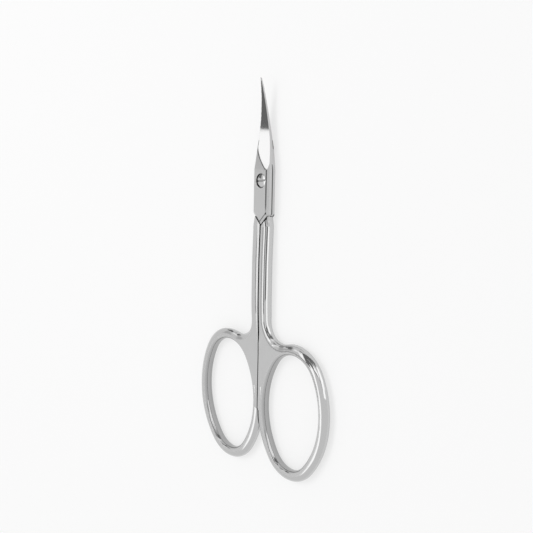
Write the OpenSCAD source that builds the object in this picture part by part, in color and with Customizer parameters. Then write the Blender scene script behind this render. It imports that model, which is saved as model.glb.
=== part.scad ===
// Cuticle scissors: two forged halves that lap at a recessed pivot screw,
// with curved, hollow-ground blades and oval finger bows.
// They lie on their backs: +Z is the front (screw head) side, +Y points to
// the tips, and the pivot axis stands on the origin.

/* [Joint] */
// Thickness through both halves at the pivot
thickness = 2.9; // [2.6:0.1:3.4]
// Width of each lap plate
plate_w = 5.3; // [5:0.1:5.8]
// Distance from the pivot down to the point of each lap plate
v_reach = 10.3; // [9.5:0.1:12]
// Running gap between the two lapped faces
lap_gap = 0.08; // [0.05:0.01:0.12]
// Bright bevel round the edge of each lap plate
plate_bevel = 0.34; // [0.15:0.01:0.4]
// Width of the wider bevel on the cutting-edge side of each plate
side_bevel = 0.85; // [0.4:0.05:1]
// Rounding bevel at the back of the rear plate, on the side of the front bow
back_bevel = 0.65; // [0.3:0.05:0.8]
// Width of the groove that sets each plate's pointed end off from its shank
v_groove = 0.28; // [0.2:0.02:0.4]
// Depth of that groove below the face of the plate
groove_depth = 0.65; // [0.4:0.05:0.8]

/* [Pivot screw] */
// Diameter of the plain shaft
pivot_d = 1.9; // [1.7:0.05:2.1]
// Radial running clearance of the shaft in the front half
pivot_clear = 0.03; // [0.02:0.01:0.06]
// Diameter of the slotted head
head_d = 3.16; // [2.7:0.02:3.2]
// Diameter of the recess that the head sits in
recess_d = 3.4; // [3.2:0.05:3.6]
// Depth of that recess
recess_depth = 0.62; // [0.5:0.02:0.75]
// Width of the driver slot
slot_w = 0.42; // [0.3:0.02:0.6]
// Depth of the middle of the head below the face of the plate
head_drop = 0.1; // [0:0.02:0.3]

/* [Blades] */
// Distance from the pivot to the tips
blade_reach = 24; // [20:0.5:28]
// How far the tips rise toward the front
blade_rise = 1.85; // [1:0.05:3]
// Radius from the pivot at which the blades start to curve
curve_start = 4; // [3:0.1:5]
// Thickness left at the cutting edge
edge_t = 0.1; // [0.06:0.01:0.2]
// Depth of the hollow grind
hollow = 0.03; // [0:0.01:0.1]

/* [Handles] */
// Distance from the pivot to the foot of the bows
handle_reach = 71; // [66:0.5:80]
// Distance from the centre plane to the outside of a shank
shank_out = 2.65; // [2.4:0.05:2.9]
// Gap between the two shanks
shank_gap = 0.28; // [0.24:0.02:0.5]
// How far the shanks arch toward the front between the joint and the bows
shank_arch = 0.5; // [0:0.05:0.6]
// Width of a bow, measured across the middle of its wire
bow_w = 21.6; // [20:0.1:24]
// Radius of the wire's rounded sides
wire_r = 1.38; // [1.34:0.02:1.5]
// Thickness of the wire between its flats
wire_t = 2.56; // [2.4:0.02:2.6]
// Radius of the long sides of a bow
side_r = 20; // [18:0.1:23]
// Radius of the top of a bow
top_r = 9.2; // [8.6:0.1:9.4]
// Radius of the foot of a bow
foot_r = 8; // [7.4:0.1:8.6]
// Outward lean of each bow in degrees
bow_lean = 3; // [0:0.5:4]
// Radius of the inside corner where a shank opens into its bow
crotch_r = 5; // [3.5:0.1:6]

/* [Hidden] */
$fn = 64;

lap = thickness / 2;
layer = lap - lap_gap / 2;
half_w = plate_w / 2;
shoulder = 2.6;
v_nose = 0.15;
plunge_len = 5.4;
edge_run = 11;
side_drop = 0.63 * side_bevel;
tip_x = 0.12;
tip_half = 0.05;
steps_blade = 22;
steps_bevel = 5;

shank_t = thickness - 0.35;
shank_mid = 0.05 + shank_t / 2;
side_bulge_r = 2.3;
slant_clear = 0.12;

foot_drop = sqrt(pow(side_r - foot_r, 2) - pow(side_r - bow_w / 2, 2));
top_rise = sqrt(pow(side_r - top_r, 2) - pow(side_r - bow_w / 2, 2));
bow_x = bow_w / 2 + 0.7;
bow_y = -handle_reach + foot_drop + foot_r + wire_r;
foot_turn = acos((side_r - bow_w / 2) / (side_r - foot_r));
top_turn = acos((side_r - bow_w / 2) / (side_r - top_r));

steel = [0.78, 0.78, 0.79];
bright_steel = [0.86, 0.86, 0.87];

// Height of the lapped face: flat at the joint, then rising with the radius
// from the pivot, so that the two blades keep their gap at every opening
function lap_z(x, y) = lap + (y > 0 ? blade_rise *
    pow(max(0, norm([x, y]) - curve_start) / (blade_reach - curve_start), 2.6) : 0);

function bezier(a, b, c, d, u) = a * pow(1 - u, 3) + 3 * b * u * pow(1 - u, 2)
    + 3 * c * u * u * (1 - u) + d * pow(u, 3);
function blend(a, b, t) = a + (b - a) * t;
function unit(t) = max(0, min(1, t));

// The plan and thickness of a blade, from its shoulder (u = 0) to its tip
function blade_y(u) = bezier(shoulder, 9.3 * blade_reach / 24,
    14.8 * blade_reach / 24, blade_reach, u);
function spine_x(u) = bezier(-half_w, -0.49 * half_w, -0.11 * half_w, tip_x - tip_half, u);
function edge_x(u) = bezier(half_w, 0.75 * half_w, 0.5 * half_w, tip_x + tip_half, u);
function spine_h(u) = bezier(layer, 0.78 * layer, 0.68 * layer, 0.22, u);

// One cross-section, as [x, height above the lapped face] going round
function section(left, right, ridge, left_h, ridge_h, right_h, bevel_l, dip) =
    concat([[left, 0], [blend(left, right, 0.5), 0], [right, 0]],
        [for (i = [0:steps_bevel]) let (t = i / steps_bevel)
            [blend(right, ridge, t), blend(right_h, ridge_h, t) - 4 * dip * t * (1 - t)]],
        [[left + bevel_l, ridge_h], [left, left_h]]);

// Sections of the plate run up from its pointed end to the blade's shoulder
function spine_bevel(side) = side > 0 ? plate_bevel : back_bevel;
function plate_section(w, side) = let (
        c = min(spine_bevel(side), w / 3),
        d = min(side_bevel, w / 3))
    section(-w, w, w - d, layer - c, layer, layer - 0.63 * d, c, 0);

// Sections of the blade: the bevel starts at the plate's edge, sweeps over to
// the spine along the plunge line, and is ground hollow from there on
function blade_section(u, side) = let (
        y = blade_y(u),
        s = unit((y - shoulder) / plunge_len),
        run = unit((y - shoulder) / edge_run),
        l = spine_x(u),
        r = edge_x(u),
        h = spine_h(u),
        b = min(blend(spine_bevel(side), plate_bevel, s), (r - l) / 5) * (1 - 0.6 * s),
        ridge = blend(r - side_bevel, l + b + 0.02, 1 - pow(1 - s, 1.3)),
        edge_h = edge_t + (layer - side_drop - edge_t) * pow(1 - run, 1.5))
    section(l, r, ridge, h - b, h, min(edge_h, blend(0.8, 0.6, s) * h), b,
        hollow * unit((r - l) / half_w) * s);

plate_stops = [[-v_reach, v_nose], [-v_reach + half_w - v_nose, half_w], [-4, half_w],
    [0, half_w], [shoulder - 0.01, half_w]];

function stations(side) = concat(
    [for (p = plate_stops) [p[0], plate_section(p[1], side)]],
    [for (i = [0:steps_blade]) let (u = i / steps_blade)
        [blade_y(u), blade_section(u, side)]]);

// side is 1 for the front half and -1 for the back half, which is the same
// form turned over, except that both blades curve the same way
function placed(side, y, p) =
    [side * p[0], y, lap_z(p[0], y) + side * (lap_gap / 2 + p[1])];

// Skin over rows of points, each row going round one cross-section
module skin(points, n, m) {
    walls = [for (i = [0:n - 2], j = [0:m - 1], k = [0, 1])
        let (a = i * m + j, b = i * m + (j + 1) % m)
        k == 0 ? [a, b, a + m] : [b, b + m, a + m]];
    foot = [for (j = [0:m - 3]) [m - 1, j + 1, j]];
    tip = [for (j = [0:m - 3]) [n * m - 1, (n - 1) * m + j, (n - 1) * m + j + 1]];
    polyhedron(points, concat(walls, foot, tip));
}

module plate_and_blade(side) {
    rows = stations(side);
    skin([for (row = rows, p = row[1]) placed(side, row[0], p)], len(rows), len(rows[0][1]));
}

// Stations down a shank: place, arch toward the front, how far the bevel of
// its outer face is drawn in (1 at the joint), that of the inner face, and
// how far the side steps in beside the plate
shank_stops = [[-6.5, 0.6, 1, 1, 0.45], [-8.2, 0.6, 1, 1, 0.45], [-10.8, 0.6, 1, 1, 0],
    [-12, 0.62, 1, 1, 0], [-15, 0.8, 1, 1, 0], [-19, 1, 1, 0.85, 0], [-23.5, 1, 0.5, 0.7, 0],
    [-28, 1, 0, 0.5, 0], [-32, 0.75, 0, 0.37, 0], [-36, 0.4, 0, 0.22, 0],
    [-40, 0.1, 0, 0.1, 0], [-43, 0, 0, 0, 0], [bow_y + 8, 0, 0, 0, 0]];

// Section of a shank, as [x, height above its middle]: two bevels and a
// swelling side toward the outer face, a slight slope along the inner face
function shank_section(out, in, step) = let (
        h = shank_t / 2,
        cx = shank_out - step - side_bulge_r,
        low = asin(-h / side_bulge_r),
        high = asin(blend(0.87, 0.27, out) * h / side_bulge_r),
        crease = 1.1 * in)
    concat([[-0.3, -h + 0.26 * (crease + 0.3)], [crease, -h]],
        [for (i = [0:8]) let (a = blend(low, high, i / 8))
            [cx + side_bulge_r * cos(a), side_bulge_r * sin(a)]],
        [[blend(shank_out - 0.4, 1.7, out), h - blend(0.02, 0.25, out)],
            [blend(shank_out - 0.6, 1.2, out), h],
            [-0.3, h]]);

module shank(side) {
    points = [for (i = [len(shank_stops) - 1:-1:0]) let (s = shank_stops[i])
        for (p = shank_section(s[2], s[3], s[4]))
            [side * p[0], s[0], shank_mid + shank_arch * s[1] + side * p[1]]];
    skin(points, len(shank_stops), len(shank_section(0, 0, 0)));
}

// The wire of a bow: round sides between a flat front and a flat back
module wire_section(slack) {
    intersection() {
        circle(wire_r - slack);
        square([4 * wire_r, wire_t - 2 * slack], center = true);
    }
}

module bow_arc(centre, radius, from, to, slack = 0) {
    translate([centre[0], centre[1], wire_t / 2]) rotate([0, 0, from])
        rotate_extrude(angle = to - from, $fn = 96)
            translate([radius, 0]) wire_section(slack);
}

// Oval of four arcs that run into each other without a corner. The two end
// arcs reach a little way into the side arcs, which are a hair thicker
module bow() {
    inset = side_r - bow_w / 2;
    reach = 1.5;
    hair = 0.01;
    translate([bow_x, bow_y, 0]) rotate([0, 0, -bow_lean]) {
        bow_arc([0, top_rise], top_r, top_turn - reach, 180 - top_turn + reach, hair);
        bow_arc([0, -foot_drop], foot_r, 180 + foot_turn - reach, 360 - foot_turn + reach, hair);
        bow_arc([-inset, 0], side_r, -foot_turn, top_turn);
        bow_arc([inset, 0], side_r, 180 - top_turn, 180 + foot_turn);
    }
}

// Web that fills the corner between the shank and the top of the bow
module web() {
    out_r = top_r + wire_r;
    c = [bow_x + top_rise * sin(bow_lean), bow_y + top_rise * cos(bow_lean)];
    fx = shank_out + crotch_r;
    fy = c[1] + sqrt(pow(out_r + crotch_r, 2) - pow(c[0] - fx, 2));
    turn = atan2(c[1] - fy, c[0] - fx);
    linear_extrude(wire_t) polygon(concat(
        [[shank_gap / 2, fy]],
        [for (i = [0:10]) let (a = blend(-180, turn, i / 10))
            [fx + crotch_r * cos(a), fy + crotch_r * sin(a)]],
        [for (i = [0:10]) let (a = blend(104, 172, i / 10))
            [c[0] + top_r * cos(a), c[1] + top_r * sin(a)]],
        [[shank_gap / 2, c[1] - 6]]));
}

// Bow, web and shank, ground flat where they face the other half
module handle(side) {
    difference() {
        union() {
            shank(side);
            if (side > 0) {
                bow();
                web();
            } else mirror([1, 0, 0]) {
                bow();
                web();
            }
        }
        translate([side > 0 ? shank_gap / 2 - 10 : -shank_gap / 2, -handle_reach - 5, -1])
            cube([10, handle_reach + 5, thickness + 2]);
    }
}

// Room for the other half's plate, cut from the shank at a slant
module lap_room() {
    low = -v_reach - slant_clear;
    translate([0, 0, -1]) linear_extrude(lap + lap_gap / 2 + 1)
        polygon([[-4, low], [v_nose, low], [v_nose + 5, low + 5], [v_nose + 5, 0], [-4, 0]]);
}

// Groove along the pointed end of the half's own plate
module groove_room() {
    low = -v_reach - v_nose - v_groove * sqrt(2);
    translate([0, 0, thickness - groove_depth]) linear_extrude(2)
        polygon([[-1, low - 1], [4, low + 4], [4, -5], [-1, -5]]);
}

module front_half() {
    color(steel) difference() {
        union() {
            plate_and_blade(1);
            difference() {
                handle(1);
                lap_room();
                groove_room();
            }
        }
        translate([0, 0, -1]) cylinder(d = pivot_d + 2 * pivot_clear, h = thickness + 2);
        translate([0, 0, thickness - recess_depth]) cylinder(d = recess_d, h = recess_depth + 1);
        translate([0, 0, thickness - 0.07])
            cylinder(d1 = recess_d - 0.01, d2 = recess_d + 0.17, h = 0.09);
    }
}

tail_d = pivot_d + 0.6;
tail_h = 0.5;

module back_half() {
    color(steel) difference() {
        union() {
            plate_and_blade(-1);
            difference() {
                handle(-1);
                translate([0, 0, thickness]) rotate([0, 180, 0]) lap_room();
                translate([0, 0, thickness]) rotate([0, 180, 0]) groove_room();
            }
        }
        translate([0, 0, -1]) cylinder(d = pivot_d + 0.02, h = thickness + 2);
        translate([0, 0, -0.01])
            cylinder(d1 = tail_d + 0.04, d2 = pivot_d + 0.02, h = tail_h + 0.01);
    }
}

// Slotted screw: domed head in the recess, plain shaft, tail peened at the back
module pivot_screw() {
    seat = thickness - recess_depth + 0.02;
    crown = 0.22;
    rim = thickness - head_drop - crown - seat;
    dome_r = (pow(head_d / 2, 2) + pow(crown, 2)) / (2 * crown);
    color(bright_steel) difference() {
        union() {
            translate([0, 0, 0.03])
                cylinder(d1 = tail_d - 0.04, d2 = pivot_d, h = tail_h);
            translate([0, 0, tail_h]) cylinder(d = pivot_d, h = seat - tail_h + 0.1);
            translate([0, 0, seat]) intersection() {
                cylinder(d = head_d, h = rim + crown + 0.1);
                translate([0, 0, rim + crown - dome_r]) sphere(dome_r);
            }
        }
        rotate([0, 0, 8]) translate([-3, -slot_w / 2, seat + 0.14]) cube([6, slot_w, 1]);
    }
}

back_half();
front_half();
pivot_screw();
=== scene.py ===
from math import cos, radians, sin, sqrt

import bpy
import numpy as np
from mathutils import Matrix, Vector


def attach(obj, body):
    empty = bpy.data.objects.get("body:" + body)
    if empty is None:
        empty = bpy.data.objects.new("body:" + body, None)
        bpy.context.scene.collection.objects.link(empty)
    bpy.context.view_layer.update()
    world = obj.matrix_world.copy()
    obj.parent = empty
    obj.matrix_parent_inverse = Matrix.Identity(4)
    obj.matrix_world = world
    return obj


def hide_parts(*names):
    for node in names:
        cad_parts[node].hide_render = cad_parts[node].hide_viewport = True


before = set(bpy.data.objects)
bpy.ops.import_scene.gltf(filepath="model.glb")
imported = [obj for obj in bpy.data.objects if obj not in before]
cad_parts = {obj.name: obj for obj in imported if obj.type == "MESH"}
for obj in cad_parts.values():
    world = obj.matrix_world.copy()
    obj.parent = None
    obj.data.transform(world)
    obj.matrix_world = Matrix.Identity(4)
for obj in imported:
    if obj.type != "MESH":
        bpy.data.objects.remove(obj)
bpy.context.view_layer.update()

# Sizes are in millimetres, in the part's own frame: +Z is the front, +Y the tips.
# A pair whose name ends in _Y is a stretch of the length over which a form changes.
MM = 0.001

# Joint
THICKNESS = 2.9
LAP = THICKNESS / 2
LAP_GAP = 0.08
LAYER = LAP - LAP_GAP / 2
PLATE_HALF = 2.65
PLATE_FOOT = -6.6
PLATE_BEVEL = 0.34
BACK_BEVEL = 0.65
SIDE_BEVEL = 0.85
SIDE_SLOPE = 0.5
FINE_INSET = 0.3
FINE_SLOPE = 0.7
FINE_DROP = 0.15
V_REACH = 10.3
V_NOSE = 0.15
V_GROOVE = 0.28
V_GROOVE_DEPTH = 0.65
V_BEVEL = 0.55
V_SLOPE = 0.55
SLANT_CLEAR = 0.12
SHOULDER = 2.6

# Blades
BLADE_REACH = 24.0
BLADE_RISE = 1.85
RISE_POWER = 2.6
CURVE_START = 4.0
EDGE_T = 0.19
EDGE_RUN = 8.5
EDGE_DROP = 0.3
EDGE_POWER = 1.5
EDGE_SHARE = (0.8, 0.6)  # the edge is no higher than this share of the spine, first to last
PLUNGE_LEN = 5.4
PLUNGE_POWER = 1.3
SPINE_FADE = 0.6
BEVELS_ACROSS = 5  # a blade is at least this many times as wide as its spine bevel
RIDGE_MARGIN = 0.02
TIP_X = 0.12
TIP_HALF = 0.05
TIP_H = 0.22

# Shanks and bows
HANDLE_REACH = 71.0
SHANK_OUT = 2.65
SHANK_GAP = 0.28
SHANK_TOP = -6.5
SHANK_FOOT = -57.0
SHANK_BACK = 0.05
SHANK_THIN = 0.005
SHANK_ARCH = 0.5
ARCH_DROP = 0.4
PLATE_STEP = 0.45
INNER_SLOPE = 0.18
INNER_CREASE = 0.85
BOW_W = 21.6
WIRE_R = 1.38
WIRE_T = 2.56
SIDE_R = 20.0
TOP_R = 9.2
FOOT_R = 8.0
BOW_LEAN = radians(3)
CROTCH_R = 5.0
CROTCH_FOOT = -50.0

# Rounded sides, each as how far it reaches in and half its height
BOW_ROUND = (2.6, 1.37)
FOOT_ROUND = (1.9, 1.3)
SHANK_ROUND = (2.3, 2.3)
INNER_ROUND = (0.95, 1.36)

# Two bevels and a round along the outer edge of the face, each on the bow and on the shank
FACE_BEVEL = (0.3, 1.6)
FACE_SLOPE = 0.5
LOW_BEVEL = (0.1, 0.95)
LOW_SLOPE = 0.7
LOW_DROP = 0.33
EDGE_ROUND = 1.4
ROUND_IN = (1.4, 1.518)
ROUND_UP = (0.6, -0.363)

SHANK_Y = (-40, -31)
FOOT_Y = (-52, -60)
BEVEL_Y = (-46, -36)
INNER_CREASE_Y = (-46, -25)
ARCH_RISE_Y = (-43, -27)
ARCH_FALL_Y = (-20, -10)
PLATE_STEP_Y = (-11, -8.2)

# Screw
PIVOT_R = 0.95
PIVOT_CLEAR = 0.03
BACK_CLEAR = 0.01
HEAD_R = 1.58
HEAD_SUNK = 0.1
HEAD_BREAK = 0.08
HEAD_OVERLAP = 0.1
RECESS_R = 1.7
RECESS_DEPTH = 0.62
RECESS_BREAK = 0.07
SEAT_CLEAR = 0.02
SLOT_W = 0.42
SLOT_TURN = radians(8)
SLOT_BREAK = 0.06
SLOT_REST = 0.14
TAIL_R = PIVOT_R + 0.3
TAIL_H = 0.5
TAIL_CLEAR = 0.02
TAIL_SHY = 0.03
CROWN = 0.22
HEAD_SEAT = THICKNESS - RECESS_DEPTH + SEAT_CLEAR
HEAD_RIM = THICKNESS - HEAD_SUNK - CROWN
SLOT_FLOOR = HEAD_SEAT + SLOT_REST

# The oval of a bow, worked out from its four arcs
INSET = SIDE_R - BOW_W / 2
TOP_RISE = sqrt((SIDE_R - TOP_R) ** 2 - INSET**2)
FOOT_DROP = sqrt((SIDE_R - FOOT_R) ** 2 - INSET**2)
BOW_GAP = 0.7
BOW_X = BOW_W / 2 + BOW_GAP
BOW_Y = -HANDLE_REACH + FOOT_DROP + FOOT_R + WIRE_R

# The circle that rounds the corner between a shank and the top of its bow
TOP_X = BOW_X + TOP_RISE * sin(BOW_LEAN)
TOP_Y = BOW_Y + TOP_RISE * cos(BOW_LEAN)
CROTCH_X = SHANK_OUT + CROTCH_R
CROTCH_Y = TOP_Y + sqrt((TOP_R + WIRE_R + CROTCH_R) ** 2 - (TOP_X - CROTCH_X) ** 2)


def smooth(low, high, t):
    """0 below low, 1 above high, with an even slope between."""
    t = np.clip((t - low) / (high - low), 0, 1)
    return t * t * (3 - 2 * t)


def mix(a, b, t):
    return a + (b - a) * t


def bezier(a, b, c, d, u):
    v = 1 - u
    return a * v**3 + 3 * b * u * v**2 + 3 * c * u**2 * v + d * u**3


# ---- The two halves as solids: below 0 inside the steel, above 0 outside it.
# ---- The factor before a slope keeps it near its true distance.

BLADE_U = np.linspace(0, 1, 400)
BLADE_Y = bezier(SHOULDER, 9.3, 14.8, BLADE_REACH, BLADE_U)
SPINE_X = bezier(-PLATE_HALF, -0.49 * PLATE_HALF, -0.11 * PLATE_HALF, TIP_X - TIP_HALF, BLADE_U)
EDGE_X = bezier(PLATE_HALF, 0.75 * PLATE_HALF, 0.34 * PLATE_HALF, TIP_X + TIP_HALF, BLADE_U)
SPINE_H = bezier(LAYER, 0.78 * LAYER, 0.68 * LAYER, TIP_H, BLADE_U)


def lap_height(x, y):
    """The lapped face: flat at the joint, then rising with the distance from the pivot."""
    r = np.maximum(np.hypot(x, y) - CURVE_START, 0) / (BLADE_REACH - CURVE_START)
    return LAP + np.where(y > 0, BLADE_RISE * r**RISE_POWER, 0)


def v_distance(x, y):
    """Distance past the V in which a lap plate ends."""
    return sqrt(0.5) * (np.abs(x) - y - V_REACH - V_NOSE)


def ground_bevel(y, spine_bevel=PLATE_BEVEL):
    """Where a blade's spine, edge and plunge line lie, and the width of its spine bevel."""
    left = np.interp(y, BLADE_Y, SPINE_X)
    right = np.interp(y, BLADE_Y, EDGE_X)
    s = np.clip((y - SHOULDER) / PLUNGE_LEN, 0, 1)
    chamfer = np.minimum(mix(spine_bevel, PLATE_BEVEL, s), (right - left) / BEVELS_ACROSS)
    chamfer = chamfer * (1 - SPINE_FADE * s)
    ridge = mix(right - SIDE_BEVEL, left + chamfer + RIDGE_MARGIN, 1 - (1 - s) ** PLUNGE_POWER)
    return left, right, np.minimum(ridge, right - RIDGE_MARGIN), chamfer, s


def plate_and_blade(x, y, z, side):
    """Lap plate and blade of one half, drawn as if it were the front half."""
    h = side * (z - lap_height(x, y)) - LAP_GAP / 2
    left, right, ridge, chamfer, s = ground_bevel(y, PLATE_BEVEL if side > 0 else BACK_BEVEL)
    across = (right - x) / (right - ridge)
    top = np.interp(y, BLADE_Y, SPINE_H)
    run = np.clip((y - SHOULDER) / EDGE_RUN, 0, 1)
    edge_h = EDGE_T + (LAYER - EDGE_DROP - EDGE_T) * (1 - run) ** EDGE_POWER
    edge_h = np.minimum(edge_h, mix(*EDGE_SHARE, s) * top)
    bevel = mix(edge_h, top, across)
    v_edge = v_distance(x, y)
    return np.maximum.reduce([
        -h, h - top, np.where(y > SHOULDER, 0.8 * (h - bevel), -1),
        0.89 * (h - LAYER + SIDE_SLOPE * (x - right + SIDE_BEVEL)),
        0.82 * (h - LAYER + FINE_DROP + FINE_SLOPE * (x - right + SIDE_BEVEL - FINE_INSET)),
        x - right, left - x, y - BLADE_REACH,
        v_edge, 0.88 * (h - LAYER + V_SLOPE * (V_BEVEL + v_edge)),
        sqrt(0.5) * (h - top + chamfer + left - x), -y - V_REACH])


def oval(x, y):
    """Distance from the middle line of a bow's wire, below 0 on the finger's side."""
    dx, dy = x - BOW_X, y - BOW_Y
    u = np.abs(cos(BOW_LEAN) * dx - sin(BOW_LEAN) * dy)
    v = sin(BOW_LEAN) * dx + cos(BOW_LEAN) * dy
    at_top = INSET * v - TOP_RISE * (u + INSET) > 0
    at_foot = -INSET * v - FOOT_DROP * (u + INSET) > 0
    d = np.hypot(u + INSET, v) - SIDE_R
    d = np.where(at_top, np.hypot(u, v - TOP_RISE) - TOP_R, d)
    return np.where(at_foot, np.hypot(u, v + FOOT_DROP) - FOOT_R, d)


def rounded_side(depth, height, reach, swell):
    """A side that bulges like an oval of that reach and half height."""
    bulge = np.hypot(np.maximum(1 - depth / reach, 0), height / swell)
    return (bulge - 1) * np.minimum(reach, swell)


def outline(x, y, d):
    """Distance from the outside edge of the handle in plan, below 0 within it."""
    over_x, over_y = x - SHANK_OUT, np.maximum(SHANK_FOOT - y, y - SHANK_TOP)
    shank = np.hypot(np.maximum(over_x, 0), np.maximum(over_y, 0))
    shank = shank + np.minimum(np.maximum(over_x, over_y), 0)
    qx, qy = x - CROTCH_X, y - CROTCH_Y
    in_corner = (qy < 0) & (qx * (TOP_Y - CROTCH_Y) > qy * (TOP_X - CROTCH_X))
    in_corner = in_corner & (y > CROTCH_FOOT)
    return np.where(in_corner, CROTCH_R - np.hypot(qx, qy), np.minimum(shank, d - WIRE_R))


def inner_crease(y):
    """How far from the middle the slope on the far face's inner edge reaches."""
    return mix(0, INNER_CREASE, smooth(*INNER_CREASE_Y, y))


def handle(x, y, z, side):
    """Shank, web and bow, with rounded sides between a flat front and back."""
    d = oval(x, y)
    depth = -outline(x, y, d) - PLATE_STEP * smooth(*PLATE_STEP_Y, y)
    on_shank = smooth(*SHANK_Y, y)
    on_foot = smooth(*FOOT_Y, y)
    near_joint = smooth(*BEVEL_Y, y)
    half_t = WIRE_T / 2 - SHANK_THIN * on_shank
    arch = SHANK_ARCH * (smooth(*ARCH_RISE_Y, y) - ARCH_DROP * smooth(*ARCH_FALL_Y, y))
    height = z - WIRE_T / 2 - (SHANK_BACK - SHANK_THIN) * on_shank - arch
    reach, swell = (mix(mix(bow, foot, on_foot), shank, on_shank)
                    for bow, foot, shank in zip(BOW_ROUND, FOOT_ROUND, SHANK_ROUND))
    above, below = side * height - half_t, -side * height - half_t
    low_bevel = LOW_SLOPE * (mix(*LOW_BEVEL, near_joint) - depth)
    return np.maximum.reduce([
        above, below, SHANK_GAP / 2 - x,
        rounded_side(depth, height, reach, swell),
        rounded_side(d + WIRE_R, height, *INNER_ROUND),
        above + FACE_SLOPE * (mix(*FACE_BEVEL, near_joint) - depth),
        above + LOW_DROP * near_joint + low_bevel,
        np.hypot(np.maximum(mix(*ROUND_IN, near_joint) - depth, 0),
                 np.maximum(side * height - mix(*ROUND_UP, near_joint), 0)) - EDGE_ROUND,
        below + INNER_SLOPE * (inner_crease(y) - x)])


def lap_room(x, y, z, side):
    """Room in a shank for the other half's plate."""
    low = -V_REACH - SLANT_CLEAR
    return np.maximum.reduce([side * (z - LAP) - LAP_GAP / 2, low - y,
                              sqrt(0.5) * (low + x - V_NOSE - y)])


def half(points, side):
    """One half of the scissors; side is 1 for the front half and -1 for the back half."""
    x, y, z = side * points[..., 0], points[..., 1], points[..., 2]
    shank = np.maximum(handle(x, y, z, side), -lap_room(x, y, z, side))
    groove = np.minimum(V_GROOVE - v_distance(x, y), side * (z - LAP) - LAYER + V_GROOVE_DEPTH)
    shank = np.maximum(shank, np.where(y < PLATE_FOOT, groove, -1))
    body = np.minimum(plate_and_blade(x, y, z, side), shank)
    r = np.hypot(x, y)
    if side > 0:
        bore = PIVOT_R + PIVOT_CLEAR - r
        floor_z = THICKNESS - RECESS_DEPTH
        recess = np.minimum(RECESS_R - r, z - floor_z)
        rim = sqrt(0.5) * (RECESS_R + RECESS_BREAK - r + z - THICKNESS)
        return np.maximum.reduce([body, bore, recess, np.minimum(rim, z - floor_z)])
    countersink = TAIL_R + TAIL_CLEAR - r - np.maximum(z, 0) * (TAIL_R - PIVOT_R) / TAIL_H
    return np.maximum.reduce([body, PIVOT_R + BACK_CLEAR - r, countersink])


def screw(points):
    """Slotted screw: domed head, plain shaft, tail peened into the back half."""
    x, y, z = points[..., 0], points[..., 1], points[..., 2]
    r = np.hypot(x, y)
    dome_r = (HEAD_R**2 + CROWN**2) / (2 * CROWN)
    dome = np.hypot(r, z - HEAD_RIM - CROWN + dome_r) - dome_r
    head = np.maximum.reduce([r - HEAD_R, HEAD_SEAT - z, dome])
    head = np.maximum(head, sqrt(0.5) * (r - HEAD_R + z - HEAD_RIM + HEAD_BREAK))
    shaft = np.maximum.reduce([r - PIVOT_R, z - HEAD_SEAT - HEAD_OVERLAP, TAIL_SHY - z])
    tail = np.maximum.reduce([r - TAIL_R + TAIL_CLEAR + z * (TAIL_R - PIVOT_R) / TAIL_H,
                              TAIL_SHY - z, z - TAIL_H - TAIL_SHY])
    body = np.minimum.reduce([head, shaft, tail])
    across = np.abs(-sin(SLOT_TURN) * x + cos(SLOT_TURN) * y) - SLOT_W / 2
    slot = np.minimum(-across, z - SLOT_FLOOR)
    slot_break = sqrt(0.5) * (SLOT_BREAK - across + z - HEAD_RIM - CROWN)
    return np.maximum.reduce([body, slot, np.minimum(slot_break, z - SLOT_FLOOR)])


# ---- Meshing: the surface of such a solid, kept sharp at its corners

GRADIENT_STEP = 0.004
CROSSING_ROUNDS = 5
CROSSING_SPAN = (0.02, 0.98)
CELL_PULL = 0.01
CORNER_PULL = 0.3


def gradient(field, points):
    """Which way the surface faces at each point."""
    out = np.empty(points.shape)
    for axis in range(3):
        step = np.zeros(3)
        step[axis] = GRADIENT_STEP
        out[:, axis] = field(points + step) - field(points - step)
    return out / np.maximum(np.linalg.norm(out, axis=1, keepdims=True), 1e-12)


def crossing(field, a, b, fa, fb):
    """The point between a and b where the field passes 0."""
    for _ in range(CROSSING_ROUNDS):
        t = np.clip(fa / (fa - fb), *CROSSING_SPAN)[:, None]
        m = a + (b - a) * t
        fm = field(m)
        same = (fm < 0) == (fa < 0)
        a, fa = np.where(same[:, None], m, a), np.where(same, fm, fa)
        b, fb = np.where(same[:, None], b, m), np.where(same, fb, fm)
    return a + (b - a) * (fa / (fa - fb))[:, None]


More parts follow.
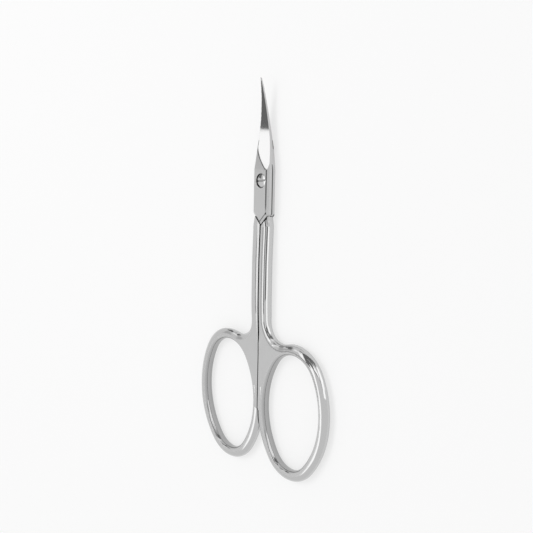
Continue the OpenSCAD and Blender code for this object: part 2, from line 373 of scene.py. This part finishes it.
def surface(field, lines):
    """Vertices and quads of the field's surface on a grid of three sets of lines."""
    shape = tuple(len(line) for line in lines)
    values = np.empty(shape)
    for j in range(shape[1]):
        x, z = np.meshgrid(lines[0], lines[2], indexing="ij")
        values[:, j] = field(np.stack([x, np.full_like(x, lines[1][j]), z], axis=-1))
    inside = values < 0
    found, normals, owners, quads = [], [], [], []
    for axis in range(3):
        near = [slice(None)] * 3
        far = [slice(None)] * 3
        near[axis], far[axis] = slice(None, -1), slice(1, None)
        at = np.argwhere(inside[tuple(near)] != inside[tuple(far)])
        to = at.copy()
        to[:, axis] += 1
        a = np.stack([lines[i][at[:, i]] for i in range(3)], axis=1)
        b = np.stack([lines[i][to[:, i]] for i in range(3)], axis=1)
        fa, fb = values[tuple(at.T)], values[tuple(to.T)]
        point = crossing(field, a, b, fa, fb)
        u, v = (axis + 1) % 3, (axis + 2) % 3
        around = []
        for du, dv in ((1, 1), (0, 1), (0, 0), (1, 0)):
            cell = at.copy()
            cell[:, u] -= du
            cell[:, v] -= dv
            around.append(np.ravel_multi_index(tuple(cell.T), shape))
        around = np.stack(around, axis=1)
        found.append(point)
        normals.append(gradient(field, point))
        owners.append(around)
        quads.append(np.where((fa < 0)[:, None], around, around[:, ::-1]))
    found, normals = np.concatenate(found), np.concatenate(normals)
    owners, quads = np.concatenate(owners), np.concatenate(quads)
    cells, index = np.unique(owners, return_inverse=True)
    index = index.reshape(owners.shape)
    count = np.bincount(index.ravel(), minlength=len(cells)).astype(float)

    def gather(column):
        return np.bincount(index.ravel(), np.repeat(column, 4), len(cells))

    # Each vertex goes where it best lies in all the planes that cross its cell
    middle = np.stack([gather(found[:, i]) for i in range(3)], axis=1) / count[:, None]
    pull = np.einsum("ij,ij->i", normals, found)
    matrix = np.empty((len(cells), 3, 3))
    for i in range(3):
        for j in range(3):
            matrix[:, i, j] = gather(normals[:, i] * normals[:, j])
    right = np.stack([gather(normals[:, i] * pull) for i in range(3)], axis=1)
    right = right - np.einsum("nij,nj->ni", matrix, middle)
    matrix += np.eye(3) * (CELL_PULL * count)[:, None, None]
    place = middle + np.linalg.solve(matrix, right[:, :, None])[:, :, 0]
    corner = np.stack(np.unravel_index(cells, shape), axis=1)
    for i in range(3):
        low, high = lines[i][corner[:, i]], lines[i][corner[:, i] + 1]
        place[:, i] = np.clip(place[:, i], low, high)
    return place, np.searchsorted(cells, quads)


def make_piece(name, field, lines, polish, shade):
    """Mesh a solid, with the way each corner faces, its polish and its painted shade."""
    place, quads = surface(field, lines)
    corners = place[quads]
    centre = corners.mean(axis=1, keepdims=True)
    near = (corners + CORNER_PULL * (centre - corners)).reshape(-1, 3)
    facing = gradient(field, near)
    mesh = bpy.data.meshes.new(name)
    mesh.vertices.add(len(place))
    mesh.vertices.foreach_set("co", (place * MM).ravel())
    mesh.loops.add(quads.size)
    mesh.loops.foreach_set("vertex_index", quads.ravel().astype(np.int32))
    mesh.polygons.add(len(quads))
    mesh.polygons.foreach_set("loop_start", np.arange(0, quads.size, 4, dtype=np.int32))
    mesh.polygons.foreach_set("loop_total", np.full(len(quads), 4, dtype=np.int32))
    mesh.update(calc_edges=True)
    mesh.polygons.foreach_set("use_smooth", np.ones(len(quads), dtype=bool))
    for label, values in (("polish", polish(near, facing)), ("shade", shade(near))):
        layer = mesh.attributes.new(label, "FLOAT", "CORNER")
        layer.data.foreach_set("value", values.astype(np.float32))
    mesh.normals_split_custom_set(facing)
    piece = bpy.data.objects.new(name, mesh)
    bpy.context.scene.collection.objects.link(piece)
    return piece


# ---- Polish and painted shade, worked out for each corner of a mesh

# How squarely a face has to look to the side or the front to be satin, and how far a
# blade's bevel has to look outward to be polished
SIDE_FACING = (0.9, 0.97)
FLAT_FACING = (0.975, 0.99)
BEVEL_FACING = 0.3
SATIN_SIDE_Y = (-16, -7)

# Painted shade and painted dark reflection lines: how far toward black each goes
PAINTED_LINE_SHADE = 0.8
PAINTED_V_SHADE = 0.75
PAINTED_CREASE_SHADE = 0.7
PAINTED_FACE_LINE_SHADE = 0.5
PAINTED_RECESS_SHADE = 0.5
PAINTED_SLOT_SHADE = 0.45
PAINTED_HEAD_SHADE = 0.4
PAINTED_BOW_SHADE = 0.3
PAINTED_GAP_SHADE = 0.25

# Painted dark lines for shade and dark reflections: half the width of each fine line, how far
# it is shifted, where along the part it lies, and how high over the lapped face (_LOW) it starts
PLUNGE_LINE = 0.21
PLUNGE_SHIFT = 0.08
PLUNGE_END = 9.5
PLUNGE_LOW = 0.8
V_LINE = 0.12
V_SHIFT = 0.06
V_INNER = -0.1
V_LOW = 1.0
SEAM_LINE = 0.16
SEAM_INNER = 2.4
SEAM_Y = (-10, 4)
CREASE_LINE = 0.12
CREASE_Y = (-32, -9)
CREASE_FADE_Y = (-17, -10)
FACE_LINE = 0.12
FACE_LINE_DEPTH = 1.66
FACE_LINE_Y = (-50, -11)
FACE_FADE_Y = (-50, -46)
FACE_LOW = 0.7

# Painted shade: how far it spreads past the groove, the gap, the recess and the slot
GROOVE_SPREAD = 0.02
GROOVE_OUT = 2.2
GAP_SPREAD = 0.03
RECESS_SPREAD = 0.01
RECESS_Z = (2, THICKNESS - 0.1)
SLOT_SPREAD = 0.01
SLOT_Z = (SLOT_FLOOR - 0.05, THICKNESS - 0.02)
HEAD_SIDE_R = HEAD_R - 0.02
BOW_INSIDE = (-0.8, -1.25)


def on_line(distance, half_width):
    return np.abs(distance) < half_width


def within(t, low, high):
    return (t > low) & (t < high)


def half_polish(side):
    def polish(points, facing):
        """Flats and lap plates are satin; rounded sides and blade bevels are polished."""
        x, y = side * points[:, 0], points[:, 1]
        outward = side * facing[:, 2]
        on_bevel = (y > SHOULDER) & (x > ground_bevel(y)[2]) & (outward > BEVEL_FACING)
        on_side = smooth(*SIDE_FACING, np.abs(facing[:, 0])) * smooth(*SATIN_SIDE_Y, y)
        flat = smooth(*FLAT_FACING, np.abs(facing[:, 2]))
        return np.where(on_bevel, 1.0, 1 - np.maximum(flat, on_side))
    return polish


def half_shade(side):
    def shade(points):
        """Painted shade and painted dark reflections in the recess, V, seam, gap and bows, and
        along fine lines.
        """
        x, y, z = side * points[:, 0], points[:, 1], points[:, 2]
        height = side * (z - lap_height(x, y))
        v_edge = v_distance(x, y)
        d = oval(x, y)
        depth = -outline(x, y, d)

        plunge = on_line(x - ground_bevel(y)[2] + PLUNGE_SHIFT, PLUNGE_LINE)
        plunge = plunge & within(y, SHOULDER, PLUNGE_END) & (height > PLUNGE_LOW)
        v_crease = on_line(v_edge + V_BEVEL + V_SHIFT, V_LINE) & (height > V_LOW)
        v_crease = v_crease & within(x, V_INNER, PLATE_HALF - SIDE_BEVEL + FINE_INSET)
        groove = within(v_edge, -GROOVE_SPREAD, V_GROOVE + GROOVE_SPREAD)
        groove = groove & (height > FACE_LOW) & (y < PLATE_FOOT) & (x < GROOVE_OUT)
        recess = (np.hypot(x, y) < RECESS_R + RECESS_SPREAD) & within(z, *RECESS_Z)
        gap = (x < SHANK_GAP / 2 + GAP_SPREAD) & (y < -V_REACH)
        seam = on_line(z - LAP, SEAM_LINE) & (np.abs(x) > SEAM_INNER) & within(y, *SEAM_Y)
        crease = on_line(x - inner_crease(y), CREASE_LINE) & within(y, *CREASE_Y)
        crease = crease & (side * z < side * LAP)
        face_line = on_line(depth - FACE_LINE_DEPTH, FACE_LINE) & within(y, *FACE_LINE_Y)
        face_line = face_line & (height > FACE_LOW)
        # Painted shade and painted dark reflection lines, each at its own strength
        return np.maximum.reduce([
            PAINTED_LINE_SHADE * (plunge | groove | seam), PAINTED_GAP_SHADE * gap, PAINTED_RECESS_SHADE * recess,
            PAINTED_CREASE_SHADE * crease * (1 - smooth(*CREASE_FADE_Y, y)),
            PAINTED_FACE_LINE_SHADE * face_line * smooth(*FACE_FADE_Y, y), PAINTED_V_SHADE * v_crease,
            PAINTED_BOW_SHADE * smooth(*BOW_INSIDE, d)])
    return shade


def all_polished(points, facing):
    return np.ones(len(points))


def screw_shade(points):
    """Painted shade in the driver slot and down the head's side."""
    x, y, z = points[:, 0], points[:, 1], points[:, 2]
    across = -sin(SLOT_TURN) * x + cos(SLOT_TURN) * y
    slot = on_line(across, SLOT_W / 2 + SLOT_SPREAD) & within(z, *SLOT_Z)
    side = (np.hypot(x, y) > HEAD_SIDE_R) & (z > HEAD_SEAT)
    return np.maximum(PAINTED_SLOT_SHADE * slot, PAINTED_HEAD_SHADE * side)


# ---- The three pieces, on grids that are fine at the joint and blades and coarser at the bows

GRID_SHIFT = 0.0137


def spaced(*stops):
    """Grid lines through stops given as (place, step from there on)."""
    parts = []
    for (start, step), (end, _) in zip(stops, stops[1:]):
        count = max(1, round((end - start) / step))
        parts.append(np.linspace(start, end, count, endpoint=False))
    return np.concatenate(parts + [[stops[-1][0]]])


def shifted(*stops):
    """Such lines moved a little, so that none lies in a flat face of the steel."""
    return spaced(*((place + GRID_SHIFT, step) for place, step in stops))


across_front = shifted((-3, 0.09), (3, 0.25), (24, 0.25))
across_back = shifted((-24, 0.25), (-3, 0.09), (3, 0.09))
along = shifted((-71.3, 0.25), (-11.5, 0.1), (24.2, 0.1))
up = shifted((-0.15, 0.16), (1.3, 0.08), (4, 0.08))
screw_across = shifted((-1.7, 0.05), (1.7, 0.05))
screw_up = spaced((-0.05 + GRID_SHIFT, 0.06), (0.6, 0.2), (2.2, 0.05), (3.1, 0.05))

front = make_piece("front_half_steel", lambda points: half(points, 1),
                   (across_front, along, up), half_polish(1), half_shade(1))
back = make_piece("back_half_steel", lambda points: half(points, -1),
                  (across_back, along, up), half_polish(-1), half_shade(-1))
pin = make_piece("screw_steel", screw,
                 (screw_across, screw_across, screw_up), all_polished, screw_shade)


# ---- Materials

GRAIN_SCALE, GRAIN_DETAIL = 9000, 3
CLOUD_SCALE, CLOUD_DETAIL = 260, 4
CLOUD_DARKEST = 0.94
ROUGH_SPREAD = 0.05
GLOSS_SPREAD = 0.2
# Painted shade: the near black that the steel's colour goes toward where the shade attribute is
# set
PAINTED_SHADE_COLOR = (0.05, 0.05, 0.05)
GRAIN_HEIGHT = 0.000004
GRAIN_STRENGTH = 0.5


def steel(name, satin_color, satin_rough, polish_color, polish_rough):
    """Stainless steel, satin where its flats are ground and bright where it is polished."""
    material = bpy.data.materials.new(name)
    material.use_nodes = True
    nodes, links = material.node_tree.nodes, material.node_tree.links
    shader = nodes["Principled BSDF"]
    shader.inputs["Metallic"].default_value = 1.0
    place = nodes.new("ShaderNodeTexCoord")

    def noise(scale, detail):
        node = nodes.new("ShaderNodeTexNoise")
        node.inputs["Scale"].default_value = scale
        node.inputs["Detail"].default_value = detail
        links.new(place.outputs["Object"], node.inputs["Vector"])
        return node.outputs["Fac"]

    def attribute(label):
        node = nodes.new("ShaderNodeAttribute")
        node.attribute_name = label
        return node.outputs["Fac"]

    def blend(kind, fac, a, b):
        node = nodes.new("ShaderNodeMix")
        node.data_type = kind
        offset = {"FLOAT": 2, "RGBA": 6}[kind]
        for socket, value in ((node.inputs[0], fac), (node.inputs[offset], a),
                              (node.inputs[offset + 1], b)):
            if hasattr(value, "links"):
                links.new(value, socket)
            else:
                socket.default_value = value
        return node.outputs[{"FLOAT": 0, "RGBA": 2}[kind]]

    polish, painted_shade = attribute("polish"), attribute("shade")
    grain = noise(GRAIN_SCALE, GRAIN_DETAIL)
    cloud = noise(CLOUD_SCALE, CLOUD_DETAIL)
    dark = tuple(c * CLOUD_DARKEST for c in satin_color)
    satin = blend("RGBA", cloud, (*satin_color, 1), (*dark, 1))
    clean = blend("RGBA", polish, satin, (*polish_color, 1))
    # Painted shade: the shade attribute takes the colour toward near black in hollows, gaps and
    # creases
    color = blend("RGBA", painted_shade, clean, (*PAINTED_SHADE_COLOR, 1))
    rough = blend("FLOAT", grain, satin_rough - ROUGH_SPREAD, satin_rough + ROUGH_SPREAD)
    gloss = blend("FLOAT", cloud, polish_rough * (1 - GLOSS_SPREAD),
                  polish_rough * (1 + GLOSS_SPREAD))
    links.new(color, shader.inputs["Base Color"])
    links.new(blend("FLOAT", polish, rough, gloss), shader.inputs["Roughness"])
    bump = nodes.new("ShaderNodeBump")
    bump.inputs["Distance"].default_value = GRAIN_HEIGHT
    links.new(blend("FLOAT", polish, GRAIN_STRENGTH, 0.0), bump.inputs["Strength"])
    links.new(grain, bump.inputs["Height"])
    links.new(bump.outputs["Normal"], shader.inputs["Normal"])
    return material


body_steel = steel("ground_steel", (0.6, 0.6, 0.6), 0.3, (0.58, 0.58, 0.58), 0.07)
screw_steel = steel("screw_polish", (0.6, 0.6, 0.6), 0.3, (0.62, 0.62, 0.62), 0.06)

for piece, node, body, slot, material in (
        (front, "front_half", "front_blade", "forged_steel_front", body_steel),
        (back, "back_half", "back_blade", "forged_steel_back", body_steel),
        (pin, "pivot_screw", "back_blade", "screw_steel", screw_steel)):
    piece.data.materials.append(material)
    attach(piece, body)
    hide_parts(node)


# ---- Floor, a little under the steel, with a glow that keeps it pale

FLOOR_REACH = 3.0
FLOOR_DROP = 0.00015
FLOOR_COLOR = (0.88, 0.88, 0.88, 1)
FLOOR_ROUGH = 0.8
FLOOR_GLOW = 0.95
GLOW_SHARE = 0.65


def glow(nodes, level):
    """The output of a plain grey emission of that level."""
    node = nodes.new("ShaderNodeEmission")
    node.inputs["Color"].default_value = (level, level, level, 1)
    return node.outputs["Emission"]


floor_mesh = bpy.data.meshes.new("floor")
floor_mesh.from_pydata([(x * FLOOR_REACH, y * FLOOR_REACH, 0)
                        for x, y in ((-1, -1), (1, -1), (1, 1), (-1, 1))], [], [(0, 1, 2, 3)])
floor = bpy.data.objects.new("floor", floor_mesh)
floor.location.z = -FLOOR_DROP
bpy.context.scene.collection.objects.link(floor)
floor_paint = bpy.data.materials.new("pale_floor")
floor_paint.use_nodes = True
floor_nodes, floor_links = floor_paint.node_tree.nodes, floor_paint.node_tree.links
floor_shader = floor_nodes["Principled BSDF"]
floor_shader.inputs["Base Color"].default_value = FLOOR_COLOR
floor_shader.inputs["Roughness"].default_value = FLOOR_ROUGH
floor_shader.inputs["Specular IOR Level"].default_value = 0.0
blend_floor = floor_nodes.new("ShaderNodeMixShader")
blend_floor.inputs["Fac"].default_value = GLOW_SHARE
floor_links.new(floor_shader.outputs["BSDF"], blend_floor.inputs[1])
floor_links.new(glow(floor_nodes, FLOOR_GLOW), blend_floor.inputs[2])
floor_links.new(blend_floor.outputs["Shader"], floor_nodes["Material Output"].inputs["Surface"])
floor_mesh.materials.append(floor_paint)


# ---- Sky: pale, with soft boxes and flags that the steel shows and the camera doesn't see

SKY_LEVEL = 0.86
BACKDROP_COLOR = (0.93, 0.93, 0.93, 1)

# What each adds to the sky's level, where it lies as ranges of the x, y and z of the
# direction looked in, and how soft its edges are. Below 0 it is a dark flag.
SKY_BOXES = (
    (0.75, (-0.5, -0.19), (-0.6, 0.05), (0.3, 2), 0.02),
    (0.75, (-0.56, -0.19), (0.05, 0.27), (0.3, 2), 0.02),
    (0.7, (-0.47, -0.28), (0.27, 0.42), (0.3, 2), 0.02),
    (0.4, (-0.66, -0.5), (0.32, 0.5), (0.3, 2), 0.03),
    (-0.25, (-0.85, -0.7), (0.05, 0.34), (0.5, 2), 0.03),
    (-0.5, (-0.82, -0.7), (0.43, 0.6), (0.3, 2), 0.02),
    (-0.5, (-0.5, -0.33), (0.54, 0.78), (0, 2), 0.03),
    (0.7, (0.75, 1), (0.32, 0.5), (-0.1, 0.45), 0.03),
    (-0.4, (0.48, 0.74), (0.16, 0.34), (0.55, 0.9), 0.03),
    (-0.5, (0.25, 0.47), (0.28, 0.44), (0.3, 2), 0.03),
    (-0.6, (0.06, 0.4), (0.65, 1.1), (0.08, 2), 0.03),
    (0.75, (0.5, 0.92), (0.47, 0.8), (0, 0.72), 0.03),
    (0.35, (-0.14, 0.04), (0.6, 0.96), (0.3, 2), 0.03))

world = bpy.data.worlds.new("studio")
bpy.context.scene.world = world
world.use_nodes = True
world_nodes, world_links = world.node_tree.nodes, world.node_tree.links
sky = world_nodes["Background"]
where = world_nodes.new("ShaderNodeTexCoord")
split = world_nodes.new("ShaderNodeSeparateXYZ")
world_links.new(where.outputs["Generated"], split.inputs["Vector"])


def math_node(operation, a, b):
    node = world_nodes.new("ShaderNodeMath")
    node.operation = operation
    for socket, value in zip(node.inputs, (a, b)):
        if hasattr(value, "links"):
            world_links.new(value, socket)
        else:
            socket.default_value = value
    return node.outputs[0]


def ramp(value, start, end):
    """0 at start, 1 at end, along one component of the direction looked in."""
    node = world_nodes.new("ShaderNodeMapRange")
    node.interpolation_type = "SMOOTHSTEP"
    world_links.new(value, node.inputs["Value"])
    node.inputs["From Min"].default_value = start
    node.inputs["From Max"].default_value = end
    return node.outputs[0]


def band(value, low, high, soft):
    return math_node("MULTIPLY", ramp(value, low - soft, low + soft),
                     math_node("SUBTRACT", 1.0, ramp(value, high - soft, high + soft)))


def sky_box(level, x_range, y_range, z_range, soft):
    """A soft box in the sky, by the direction it is seen in."""
    shape = band(split.outputs["X"], *x_range, soft)
    shape = math_node("MULTIPLY", shape, band(split.outputs["Y"], *y_range, soft))
    shape = math_node("MULTIPLY", shape, band(split.outputs["Z"], *z_range, soft))
    return math_node("MULTIPLY", shape, level)


sky_level = SKY_LEVEL
for box in SKY_BOXES:
    sky_level = math_node("ADD", sky_level, sky_box(*box))
world_links.new(sky_level, sky.inputs["Color"])
backdrop = world_nodes.new("ShaderNodeBackground")
backdrop.inputs["Color"].default_value = BACKDROP_COLOR
rays = world_nodes.new("ShaderNodeLightPath")
seen = world_nodes.new("ShaderNodeMixShader")
world_links.new(rays.outputs["Is Camera Ray"], seen.inputs["Fac"])
world_links.new(sky.outputs["Background"], seen.inputs[1])
world_links.new(backdrop.outputs["Background"], seen.inputs[2])
world_links.new(seen.outputs["Shader"], world_nodes["World Output"].inputs["Surface"])


# ---- Cards near the scissors

DARK_CARD = 0.2
WHITE_CARD = 1.6


def card(name, corners, level):
    """A card held near the scissors, seen only in the polished steel."""
    mesh = bpy.data.meshes.new(name)
    mesh.from_pydata([[c * MM for c in corner] for corner in corners], [], [(0, 1, 2, 3)])
    sheet = bpy.data.objects.new(name, mesh)
    sheet.visible_camera = sheet.visible_diffuse = sheet.visible_shadow = False
    paint = bpy.data.materials.new(name)
    paint.use_nodes = True
    nodes, links = paint.node_tree.nodes, paint.node_tree.links
    links.new(glow(nodes, level), nodes["Material Output"].inputs["Surface"])
    mesh.materials.append(paint)
    bpy.context.scene.collection.objects.link(sheet)


def flat_card(name, x_range, y_range, height, level):
    """A card level with the floor."""
    (x0, x1), (y0, y1) = x_range, y_range
    card(name, [(x0, y0, height), (x1, y0, height), (x1, y1, height), (x0, y1, height)], level)


def side_card(name, x, y_range, z_range, level):
    """A card upright along the scissors."""
    (y0, y1), (z0, z1) = y_range, z_range
    card(name, [(x, y0, z0), (x, y1, z0), (x, y1, z1), (x, y0, z1)], level)


flat_card("card_over_blades", (-22.4, 44), (-16, 14), 122, DARK_CARD)
flat_card("card_over_shanks", (0, 7.5), (-40, -10), 33, DARK_CARD)
flat_card("card_beside", (9.5, 21), (-32.5, -10), 18, DARK_CARD)
side_card("card_behind", -90, (9, 48), (30, 82), DARK_CARD)
flat_card("card_over_corner", (18, 40), (-31, -22), 40, WHITE_CARD)
side_card("white_card", 40, (-46, -9), (7, 26), WHITE_CARD)


# ---- Key light, in metres: it casts the soft shadow on the floor, and the steel doesn't show it

KEY_DIRECTION = (-0.35, 0.3, 0.85)
KEY_AIM = (0, -0.025, 0)
KEY_DISTANCE = 0.6
KEY_SIZE = 0.3
KEY_POWER = 0.8

lamp = bpy.data.lights.new("key", "AREA")
lamp.shape = "RECTANGLE"
lamp.size = lamp.size_y = KEY_SIZE
lamp.energy = KEY_POWER
key = bpy.data.objects.new("key", lamp)
aim = Vector(KEY_DIRECTION).normalized()
key.location = Vector(KEY_AIM) + aim * KEY_DISTANCE
key.rotation_euler = aim.to_track_quat("Z", "Y").to_euler()
key.visible_glossy = False
bpy.context.scene.collection.objects.link(key)


# ---- Camera: the photograph's view, 49 degrees round toward the front half's bow and 8
# ---- degrees up, with its turns and places found from the outline of the bows

CAMERA_TURN = radians(49)
CAMERA_TILT = radians(7.92)
CAMERA_ROLL = radians(1.2)
CAMERA_AIM = Vector((0, -24.45, 1.47))
CAMERA_SHIFT = (0.85, 3.79)
CAMERA_DISTANCE = 228.0
FOCAL_LENGTH = 63.8
SENSOR_WIDTH = 36

back_axis = Vector((sin(CAMERA_TURN) * cos(CAMERA_TILT), sin(CAMERA_TILT),
                    cos(CAMERA_TURN) * cos(CAMERA_TILT)))
level_axis = Vector((cos(CAMERA_TURN), 0, -sin(CAMERA_TURN)))
right_axis = level_axis * cos(CAMERA_ROLL) + back_axis.cross(level_axis) * sin(CAMERA_ROLL)
up_axis = back_axis.cross(right_axis)
spot = (CAMERA_AIM + back_axis * CAMERA_DISTANCE + right_axis * CAMERA_SHIFT[0]
        + up_axis * CAMERA_SHIFT[1])
lens = bpy.data.cameras.new("camera")
lens.lens = FOCAL_LENGTH
lens.sensor_width = SENSOR_WIDTH
lens.clip_start = 0.01
lens.clip_end = 20
camera = bpy.data.objects.new("camera", lens)
axes = Matrix((right_axis, up_axis, back_axis)).transposed()
camera.matrix_world = Matrix.Translation(spot * MM) @ axes.to_4x4()
bpy.context.scene.collection.objects.link(camera)
bpy.context.scene.camera = camera
bpy.context.scene.view_settings.view_transform = "Standard"
